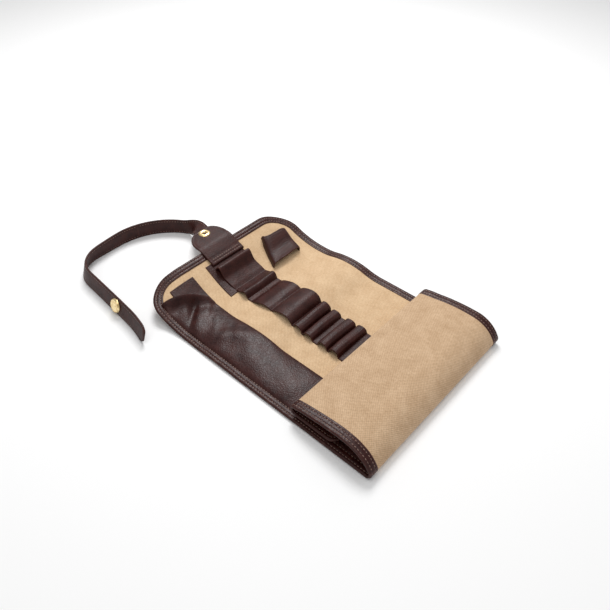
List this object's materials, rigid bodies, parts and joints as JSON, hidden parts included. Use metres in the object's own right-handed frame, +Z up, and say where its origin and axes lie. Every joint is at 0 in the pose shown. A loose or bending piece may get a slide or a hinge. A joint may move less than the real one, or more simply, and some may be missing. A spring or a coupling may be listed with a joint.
{
  "type": "pencil case",
  "caption": "Roll-up canvas pencil wrap with dark leather binding, pen loops, a ruler pocket and a snap strap, open with its far end rolled up.",
  "frame": {"origin": "middle of the flat outer face under the rolled end, on the table", "axes": "+X along the wrap from the strap end towards the rolled end, +Y across it towards the accessory loop, +Z up"},
  "size_m": [0.3982, 0.2328, 0.0291],
  "materials": {
    "canvas": "matte natural cotton canvas, plain weave",
    "lining": "matte natural cotton canvas, plain weave",
    "dark_leather": "semi-matte dark brown leather with a fine grain",
    "tag": "plain woven red tape",
    "brass": "brushed old brass"
  },
  "bodies": {
    "base": {"outer_base": "canvas", "lining_base": "lining", "binding_base": "dark_leather", "wide_loop_2": "dark_leather", "wide_loop_3": "dark_leather", "wide_loop_4": "dark_leather", "pencil_loop_1": "dark_leather", "pencil_loop_2": "dark_leather", "pocket_base": "dark_leather"},
    "front": {"outer_front": "canvas", "lining_front": "lining", "binding_front": "dark_leather", "tongue": "dark_leather", "anchor_patch": "dark_leather", "wide_loop_1": "dark_leather", "pocket_mouth": "dark_leather", "accessory_loop": "dark_leather"},
    "flap": {"outer_flap": "canvas", "lining_flap": "lining", "binding_flap": "dark_leather", "side_tag": "tag", "tab_root": "dark_leather"},
    "tab": {"closure_tab": "dark_leather", "snap_post": "brass", "snap_stud": "brass"},
    "rear": {"outer_rear": "canvas", "lining_rear": "lining", "binding_rear": "dark_leather", "pencil_loop_3": "dark_leather", "pencil_loop_4": "dark_leather", "pocket_rear": "dark_leather"},
    "roll_base": {"outer_roll_base": "canvas", "lining_roll_base": "lining", "binding_roll_base": "dark_leather", "strip_tail": "dark_leather", "pocket_end": "dark_leather"},
    "roll_edge": {"outer_roll_edge": "canvas", "lining_roll_edge": "lining", "binding_roll_edge": "dark_leather"},
    "roll_top": {"outer_roll_top": "canvas", "lining_roll_top": "lining", "binding_roll_top": "dark_leather"},
    "roll_fold": {"outer_roll_fold": "canvas", "lining_roll_fold": "lining", "binding_roll_fold": "dark_leather"},
    "tail": {"outer_tail": "canvas", "lining_tail": "lining", "binding_tail": "dark_leather"},
    "strap_run": {"strap_run": "dark_leather"},
    "strap_end": {"strap_end": "dark_leather", "snap_cap": "brass", "snap_socket": "brass"}
  },
  "joints": [
    {"name": "front_fold", "type": "hinge", "parent": "base", "child": "front", "pos_m": [-0.1816, 0, 0.00391], "axis": [0, 1, 0], "range_deg": [0, 76]},
    {"name": "flap_fold", "type": "hinge", "parent": "front", "child": "flap", "pos_m": [-0.21868, 0, 0.01589], "axis": [0, 1, 0], "range_deg": [0, 79.1]},
    {"name": "tab_crease", "type": "hinge", "parent": "flap", "child": "tab", "pos_m": [-0.24015, 0, 0.02791], "axis": [0, 1, 0], "range_deg": [0, 22.1]},
    {"name": "rear_fold", "type": "hinge", "parent": "base", "child": "rear", "pos_m": [-0.076, 0, 0.003], "axis": [0, -1, 0], "range_deg": [0, 90]},
    {"name": "roll_flip", "type": "hinge", "parent": "rear", "child": "roll_base", "pos_m": [-0.043, 0, 0.003], "axis": [0, -1, 0], "range_deg": [0, 90]},
    {"name": "unroll", "type": "hinge", "parent": "roll_base", "child": "roll_edge", "pos_m": [0.05131, 0, 0.00166], "axis": [0, -1, 0], "range_deg": [-75, 0]},
    {"name": "unroll_top", "type": "hinge", "parent": "roll_edge", "child": "roll_top", "pos_m": [0.04744, 0, 0.01472], "axis": [0, -1, 0], "range_deg": [-105, 0]},
    {"name": "unroll_fold", "type": "hinge", "parent": "roll_top", "child": "roll_fold", "pos_m": [-0.03469, 0, 0.01581], "axis": [0, -1, 0], "range_deg": [-90, 0]},
    {"name": "unroll_tail", "type": "hinge", "parent": "roll_fold", "child": "tail", "pos_m": [-0.03469, 0, 0.00747], "axis": [0, -1, 0], "range_deg": [-90, 0]},
    {"name": "strap_swing", "type": "hinge", "parent": "tab", "child": "strap_run", "pos_m": [-0.266, 0.006, 0.0265], "axis": [0, 0, 1], "range_deg": [-8, 8]},
    {"name": "strap_bend", "type": "hinge", "parent": "strap_run", "child": "strap_end", "pos_m": [-0.33495, -0.10569, 0.009], "axis": [0, 0, 1], "range_deg": [-60, 5]}
  ],
  "couplings": [
    {"joint": "flap_fold", "follows": "front_fold", "ratio": 1.04},
    {"joint": "tab_crease", "follows": "front_fold", "ratio": 0.29},
    {"joint": "roll_flip", "follows": "rear_fold", "ratio": 1},
    {"joint": "unroll_top", "follows": "unroll", "ratio": 1.4},
    {"joint": "unroll_fold", "follows": "unroll", "ratio": 1.2},
    {"joint": "unroll_tail", "follows": "unroll", "ratio": 1.2}
  ]
}
